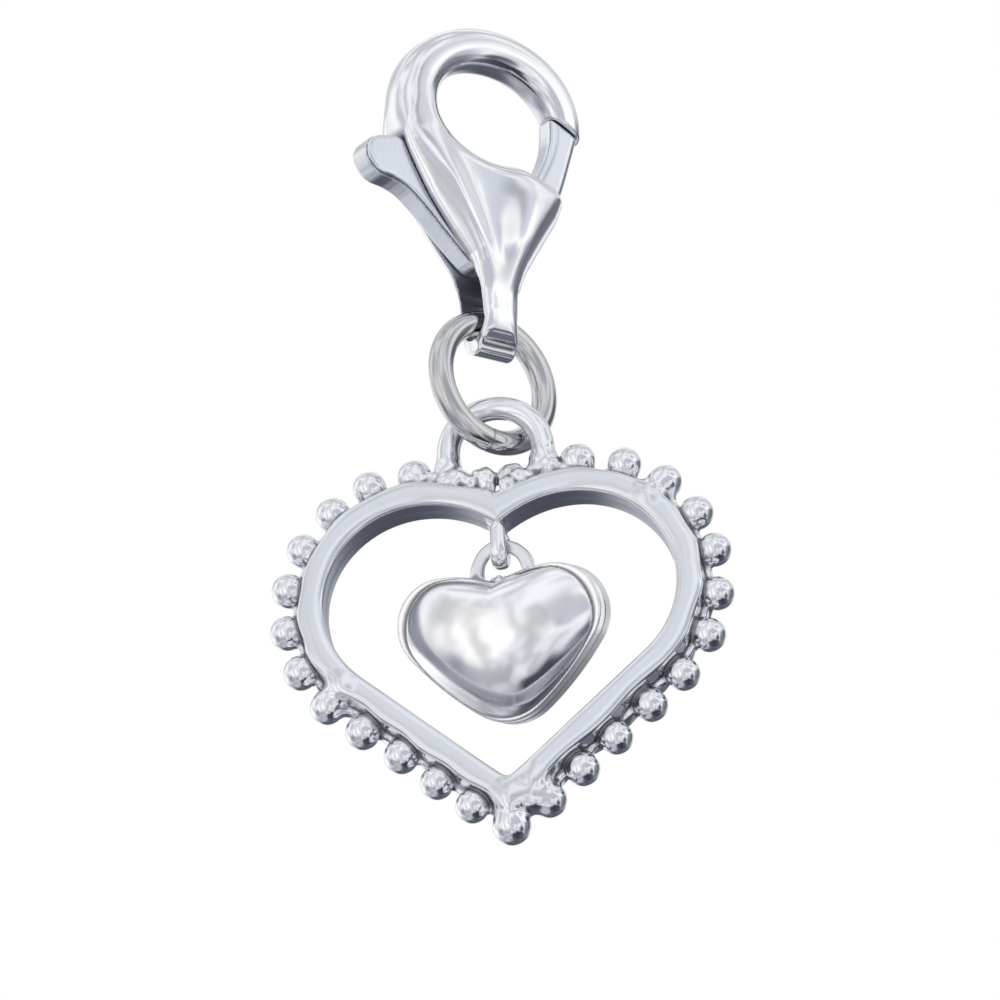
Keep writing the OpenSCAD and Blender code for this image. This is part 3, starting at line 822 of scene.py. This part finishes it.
def inner_heart(pivot):
    """Field of the puffed heart and its eyelet, which hangs on the pivot."""
    edge = outline_radius()
    near_edge, near_middle = smoothed(edge, 3), smoothed(edge, 36)
    c, s = math.cos(-INNER_YAW), math.sin(-INNER_YAW)
    cl, sl = math.cos(-INNER_LEAN), math.sin(-INNER_LEAN)
    half = SIDE_T / 2
    sink = EYELET_T / 2 - half - 0.12

    def field(p):
        q = p - pivot
        x = q[:, 0] * c - q[:, 1] * s
        y0 = q[:, 0] * s + q[:, 1] * c
        y = y0 * cl - q[:, 2] * sl
        z = y0 * sl + q[:, 2] * cl + EYELET_R - EYELET_BAR / 2
        r = np.hypot(x, z)
        eyelet = smooth_max(r - EYELET_R, EYELET_HOLE - r, 0.05)
        eyelet = smooth_max(eyelet, np.abs(y) - EYELET_T / 2, 0.1) + 0.018 * noise(q, 9.0, 8)
        ct, st = math.cos(INNER_TURN), math.sin(INNER_TURN)
        x, z = x * ct - z * st, x * st + z * ct
        f, z = sink - y, z - INNER_DROP + LOOP_CLEAR
        dz = z - DOME_Z
        angle, reach = np.arctan2(dz, x), np.hypot(x, dz)
        share = np.clip(reach / ring_value(near_edge, angle), 0, 1.2)
        t = np.clip(share, 0, 1) ** 4
        share = reach / (ring_value(near_middle, angle) * (1 - t) + ring_value(near_edge, angle) * t)
        up = (f - half) / DOME_H
        dome = (share / DOME_SHARE) ** 2.2 + np.maximum(up, 0) ** 1.3 - 1
        dome = smooth_max(dome * 0.8, -up * DOME_H - 0.3, 0.1)
        back = (share / BACK_SHARE) ** 2.6 + (np.maximum(-f - half, 0) / BACK_H) ** 2
        back = back ** 0.5 - 1 + np.maximum(f, 0)
        wall = smooth_max(inner_outline(x, z), np.abs(f) - half, 0.09)
        heart = smooth_min(smooth_min(wall, dome, 0.025), back * 0.5, 0.08)
        spot = np.stack([x, f, z], axis=1)
        for centre, size in EYELET_SOLDER:
            heart = smooth_min(heart, np.linalg.norm(spot - centre, axis=1) - size, 0.06)
        return smooth_min(heart, eyelet, 0.1)

    return field


# Materials

def nodes_of(owner):
    """Empties the node tree of a material or a world, and gives a function that adds to it."""
    owner.use_nodes = True
    tree = owner.node_tree
    tree.nodes.clear()

    def add(kind, inputs=None, **settings):
        node = tree.nodes.new(kind)
        for key, value in settings.items():
            setattr(node, key, value)
        for key, value in (inputs or {}).items():
            if hasattr(value, "is_output"):
                tree.links.new(value, node.inputs[key])
            else:
                node.inputs[key].default_value = value
        return node

    return add


def ramp(add, factor, stops):
    """A colour ramp through (position, colour) pairs."""
    node = add("ShaderNodeValToRGB", {0: factor})
    elements = node.color_ramp.elements
    while len(elements) < len(stops):
        elements.new(0.5)
    for element, (position, colour) in zip(elements, stops):
        element.position = position
        element.color = (*colour, 1)
    return node.outputs[0]


def silver(name, colour, shade, rough, ripple):
    """Polished silver: faint waviness, fine wipe marks, and painted shade in its hollows."""
    material = bpy.data.materials.new(name)
    add = nodes_of(material)
    place = add("ShaderNodeTexCoord").outputs["Object"]
    hollow = add("ShaderNodeAttribute", attribute_name="crevice").outputs["Fac"]
    patch = add("ShaderNodeTexNoise", {"Vector": place, "Scale": 420.0, "Detail": 3.0}).outputs[0]
    fine = add("ShaderNodeTexNoise", {"Vector": place, "Scale": 9000.0, "Detail": 2.0}).outputs[0]
    tone = ramp(add, patch, [(0.3, colour), (0.7, tuple(c * 0.965 for c in colour))])
    # Painted shade: the hollows are darkened towards the shade colour. On the ring the same mark
    # darkens the solder seam, which is the seam's own colour
    dark = add("ShaderNodeMapRange", {0: hollow, 1: 0.15, 2: 0.9, 3: 0.0, 4: 0.85}).outputs[0]
    base = add("ShaderNodeMix", {0: dark, 6: tone, 7: (*shade, 1)}, data_type="RGBA").outputs[2]
    # Painted shade: the unpolished walls get a darker colour as well as more roughness
    matt_and_shade = add("ShaderNodeAttribute", attribute_name="satin_and_shade").outputs["Fac"]
    base = add("ShaderNodeMix", {0: matt_and_shade, 6: base, 7: (*SATIN_AND_SHADE, 1)}, data_type="RGBA").outputs[2]
    spread = {0: patch, 1: 0.3, 2: 0.75, 3: rough * 0.75, 4: rough * 1.35}
    gloss = add("ShaderNodeMapRange", spread).outputs[0]
    gloss = add("ShaderNodeMath", {0: hollow, 1: 0.25, 2: gloss}, operation="MULTIPLY_ADD").outputs[0]
    gloss = add("ShaderNodeMath", {0: matt_and_shade, 1: 0.3, 2: gloss}, operation="MULTIPLY_ADD").outputs[0]
    wave = add("ShaderNodeTexNoise", {"Vector": place, "Scale": 700.0, "Detail": 1.0}).outputs[0]
    soft = add("ShaderNodeBump", {"Height": wave, "Strength": ripple, "Distance": 0.0002})
    sharp = add("ShaderNodeBump", {
        "Height": fine, "Strength": 0.02, "Distance": 0.00002, "Normal": soft.outputs[0]})
    shader = add("ShaderNodeBsdfPrincipled", {
        "Base Color": base, "Metallic": 1.0, "Roughness": gloss, "Normal": sharp.outputs[0]})
    add("ShaderNodeOutputMaterial", {"Surface": shader.outputs[0]})
    return material


def brushed(name, colour):
    """Silver with fine parallel upright lines, as a file leaves them."""
    material = bpy.data.materials.new(name)
    add = nodes_of(material)
    place = add("ShaderNodeTexCoord").outputs["Object"]
    turned = add("ShaderNodeMapping", {0: place, 2: (0, 0, -CLASP_YAW)}).outputs[0]
    lines = add("ShaderNodeMapping", {0: turned, 3: (14000, 1000, 900)}).outputs[0]
    grain = add("ShaderNodeTexNoise", {"Vector": lines, "Scale": 1.0, "Detail": 3.0}).outputs[0]
    patch = add("ShaderNodeTexNoise", {"Vector": place, "Scale": 600.0, "Detail": 2.0}).outputs[0]
    hollow = add("ShaderNodeAttribute", attribute_name="crevice").outputs["Fac"]
    tone = ramp(add, patch, [(0.3, colour), (0.7, tuple(c * 0.94 for c in colour))])
    # Painted shade: the hollows are darkened towards the shade colour
    dark = add("ShaderNodeMapRange", {0: hollow, 1: 0.1, 2: 0.9, 3: 0.0, 4: 0.8}).outputs[0]
    base = add("ShaderNodeMix", {0: dark, 6: tone, 7: (*SHADE, 1)}, data_type="RGBA").outputs[2]
    gloss = add("ShaderNodeMapRange", {0: grain, 1: 0.3, 2: 0.7, 3: 0.13, 4: 0.22}).outputs[0]
    bump = add("ShaderNodeBump", {"Height": grain, "Strength": 0.07, "Distance": 0.00003}).outputs[0]
    shader = add("ShaderNodeBsdfPrincipled", {
        "Base Color": base, "Metallic": 1.0, "Roughness": gloss, "Normal": bump})
    add("ShaderNodeOutputMaterial", {"Surface": shader.outputs[0]})
    return material


# Stage

def direction(azimuth, elevation):
    """Unit vector from the object: azimuth 0 is the front, and a positive one is to the right."""
    a, e = math.radians(azimuth), math.radians(elevation)
    return Vector((math.sin(a) * math.cos(e), -math.cos(a) * math.cos(e), math.sin(e)))


# Pale and dark cards in the surround, each over those above it. Columns: azimuth, elevation, cosine
# where it starts, cosine where it is full, colour
CARDS = [
    (0, 88, 0.5, 0.95, (0.84, 0.86, 0.9)),
    (-5, 28, 0.82, 0.96, (0.84, 0.87, 0.92)),
    (-40, -4, 0.76, 0.96, (1.0, 1.0, 1.01)),
    (70, 10, 0.8, 0.97, (0.98, 0.99, 1.0)),
    (54, 6, 0.965, 0.995, (0.46, 0.49, 0.56)),
    (90, 2, 0.965, 0.995, (0.46, 0.49, 0.56)),
    (68, 34, 0.965, 0.995, (0.6, 0.63, 0.7)),
    (118, 0, 0.84, 0.95, (0.22, 0.235, 0.28)),
    (33, 4, 0.93, 0.985, (0.5, 0.52, 0.57)),
    (-112, 12, 0.8, 0.97, (0.98, 0.99, 1.0)),
    (-80, -32, 0.9, 0.98, (0.36, 0.38, 0.44)),
    (125, -54, 0.82, 0.95, (0.09, 0.1, 0.125)),
    (78, -64, 0.86, 0.955, (0.06, 0.065, 0.09)),
    (78, -27, 0.955, 0.985, (0.14, 0.15, 0.2)),
    (174, -30, 0.72, 0.92, (0.13, 0.14, 0.18)),
    (20, -46, 0.92, 0.975, (0.74, 0.76, 0.81)),
]


def studio():
    """A pale surround for the reflections, dark below, and plain white behind the object."""
    world = bpy.data.worlds.new("studio")
    bpy.context.scene.world = world
    add = nodes_of(world)

    def vector(operation, *inputs):
        return add("ShaderNodeVectorMath", dict(enumerate(inputs)), operation=operation).outputs

    look = add("ShaderNodeTexCoord").outputs["Generated"]
    drift = add("ShaderNodeTexNoise", {"Vector": look, "Scale": 1.7, "Detail": 2.0}).outputs[1]
    drift = vector("SUBTRACT", drift, (0.5, 0.5, 0.5))[0]
    look = vector("MULTIPLY_ADD", drift, (0.55, 0.55, 0.55), look)[0]
    look = vector("NORMALIZE", look)[0]
    height = vector("DOT_PRODUCT", look, (0, -0.18, 1))["Value"]
    level = add("ShaderNodeMapRange", {0: height, 1: -1.0, 2: 1.0}).outputs[0]
    colour = ramp(add, level, [
        (0.0, (0.48, 0.5, 0.55)), (0.2, (0.66, 0.68, 0.73)), (0.42, (0.82, 0.83, 0.86)),
        (0.6, (0.82, 0.84, 0.87)), (1.0, (0.83, 0.85, 0.88)),
    ])
    for azimuth, elevation, start, full, tint in CARDS:
        toward = vector("DOT_PRODUCT", look, direction(azimuth, elevation))["Value"]
        share = add("ShaderNodeMapRange", {0: toward, 1: start, 2: full},
                    interpolation_type="SMOOTHSTEP").outputs[0]
        colour = add("ShaderNodeMix", {0: share, 6: colour, 7: (*tint, 1)}, data_type="RGBA").outputs[2]
    tall = vector("MULTIPLY", look, (1.0, 1.0, 0.4))[0]
    cloud = add("ShaderNodeTexNoise", {"Vector": tall, "Scale": 3.2, "Detail": 1.0}).outputs[0]
    cloud = add("ShaderNodeMapRange", {0: cloud, 1: 0.36, 2: 0.62, 3: 0.7, 4: 1.12},
                interpolation_type="SMOOTHSTEP").outputs[0]
    colour = vector("MULTIPLY", colour, cloud)[0]
    seen = add("ShaderNodeLightPath").outputs["Is Camera Ray"]
    colour = add("ShaderNodeMix", {0: seen, 6: colour, 7: (1, 1, 1, 1)}, data_type="RGBA").outputs[2]
    back = add("ShaderNodeBackground", {"Color": colour, "Strength": 1.0})
    add("ShaderNodeOutputWorld", {"Surface": back.outputs[0]})


def floor(below):
    """A plain pale floor, which the silver doesn't mirror."""
    half = 0.4
    mesh = bpy.data.meshes.new("floor")
    corners = [(-half, -half, below), (half, -half, below), (half, half, below), (-half, half, below)]
    mesh.from_pydata(corners, [], [(0, 1, 2, 3)])
    plane = bpy.data.objects.new("floor", mesh)
    bpy.context.scene.collection.objects.link(plane)
    material = bpy.data.materials.new("pale_floor")
    add = nodes_of(material)
    place = add("ShaderNodeTexCoord").outputs["Object"]
    patch = add("ShaderNodeTexNoise", {"Vector": place, "Scale": 30.0}).outputs[0]
    tone = ramp(add, patch, [(0.3, (0.9, 0.9, 0.9)), (0.7, (0.93, 0.93, 0.93))])
    shader = add("ShaderNodeBsdfPrincipled", {"Base Color": tone, "Roughness": 0.9})
    add("ShaderNodeOutputMaterial", {"Surface": shader.outputs[0]})
    mesh.materials.append(material)
    plane.visible_glossy = False


def softbox(name, azimuth, elevation, distance, size, power):
    """A square light that shines on the object, and that the silver doesn't mirror."""
    light = bpy.data.lights.new(name, "AREA")
    light.size = size
    light.energy = power
    lamp = bpy.data.objects.new(name, light)
    toward = direction(azimuth, elevation)
    lamp.location = toward * distance
    lamp.visible_glossy = False
    lamp.rotation_euler = toward.to_track_quat("Z", "Y").to_euler()
    bpy.context.scene.collection.objects.link(lamp)


def camera():
    """A camera at the photograph's angle and scale, which has the origin at its pixel there."""
    toward = direction(CAMERA_AZIMUTH, CAMERA_ELEVATION)
    azimuth, roll = math.radians(CAMERA_AZIMUTH), math.radians(CAMERA_ROLL)
    level = Vector((math.cos(azimuth), math.sin(azimuth), 0))
    upright = toward.cross(level)
    right = level * math.cos(roll) - upright * math.sin(roll)
    up = level * math.sin(roll) + upright * math.cos(roll)
    pixel = MM_PER_PIXEL * MM
    half = IMAGE_PIXELS / 2
    middle = right * (half - ORIGIN_PIXEL[0]) * pixel - up * (half - ORIGIN_PIXEL[1]) * pixel
    data = bpy.data.cameras.new("camera")
    data.sensor_width = SENSOR
    data.lens = SENSOR * CAMERA_DISTANCE / (IMAGE_PIXELS * pixel)
    data.clip_start, data.clip_end = 0.01, 20
    view = bpy.data.objects.new("camera", data)
    turn = Matrix((right, up, toward)).transposed().to_4x4()
    view.matrix_world = Matrix.Translation(middle + toward * CAMERA_DISTANCE) @ turn
    bpy.context.scene.collection.objects.link(view)
    bpy.context.scene.camera = view


def dressed(piece, material, body, node):
    """Gives a piece its material and its body, and lets it stand for its CAD node."""
    piece.data.materials.append(material)
    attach(piece, body)
    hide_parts(node)


def box_mm(node):
    """Corners of a CAD node's box."""
    low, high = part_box(node)
    return np.array(low) / MM, np.array(high) / MM


def place_grains():
    """All the grains, a little irregular: middle, neck's foot, diameter, place to the front."""
    grains = []
    for top, foot, d in grain_places():
        for side in (-1, 1):
            shift = RNG.uniform(-0.05, 0.05, 3)
            middle = (side * top[0] + shift[0], top[1] + shift[1])
            size = d * RNG.uniform(0.97, 1.02)
            grains.append((middle, (side * foot[0], foot[1]), size, shift[2] - GRAIN_BACK))
    low = -HEART_H - TIP_GRAIN_DROP
    grains.append(((0, low), (0, low + NECK_LENGTH), GRAIN_D, -GRAIN_BACK))
    return grains


def build():
    """The five dressed pieces, and the rivet as it is."""
    bright = silver("polished_silver", (0.93, 0.935, 0.945), SHADE, rough=0.12, ripple=0.02)
    puffed = silver("puffed_silver", (0.98, 0.98, 0.985), SHADE, rough=0.14, ripple=0.07)
    cast = silver("cast_silver", (0.9, 0.91, 0.93), (0.14, 0.14, 0.15), rough=0.1, ripple=0.06)
    wire = silver("wire_silver", (0.64, 0.635, 0.635), (0.2, 0.16, 0.13), rough=0.09, ripple=0.05)
    filed = brushed("brushed_silver", (0.84, 0.86, 0.9))

    low, high = box_mm("heart_frame")
    lobe_top = high[2] - BAIL_RISE
    grains = place_grains()
    flowing = {grains[k][0] for k in FLOWING}
    field = outer_heart(lobe_top, grains, flowing)
    heart = skin("outer_heart", field, low, high, HEART_CELL, inner_wall)
    dressed(heart, cast, "heart", "heart_frame")

    low, high = box_mm("clasp_body")
    shell = skin("clasp_shell", clasp_body_field, low, high, SHELL_CELL, clasp_satin_and_shade)
    dressed(shell, bright, "clasp", "clasp_body")

    low, high = box_mm("clasp_lever")
    lever = skin("thumb_lever", lever_field, low, high, FINE_CELL)
    dressed(lever, filed, "lever", "clasp_lever")

    low, high = box_mm("jump_ring")
    ring = jump_ring((low[2] + high[2]) / 2)
    dressed(ring, wire, "ring", "jump_ring")

    pivot = np.array([0, HEART_Y + LOOP_Y, lobe_top - LOOP_DROP])
    low, high = box_mm("inner_heart")
    drop = skin("puffed_heart", inner_heart(pivot), low, high, FINE_CELL, eyelet_satin_and_shade(pivot))
    dressed(drop, puffed, "drop", "inner_heart")

    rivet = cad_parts["clasp_rivet"]
    rivet.data.materials.clear()
    rivet.data.materials.append(bright)


bpy.context.scene.view_settings.view_transform = "Standard"
build()
studio()
floor(-0.3)
softbox("key", azimuth=-35, elevation=50, distance=0.6, size=0.4, power=2.0)
camera()
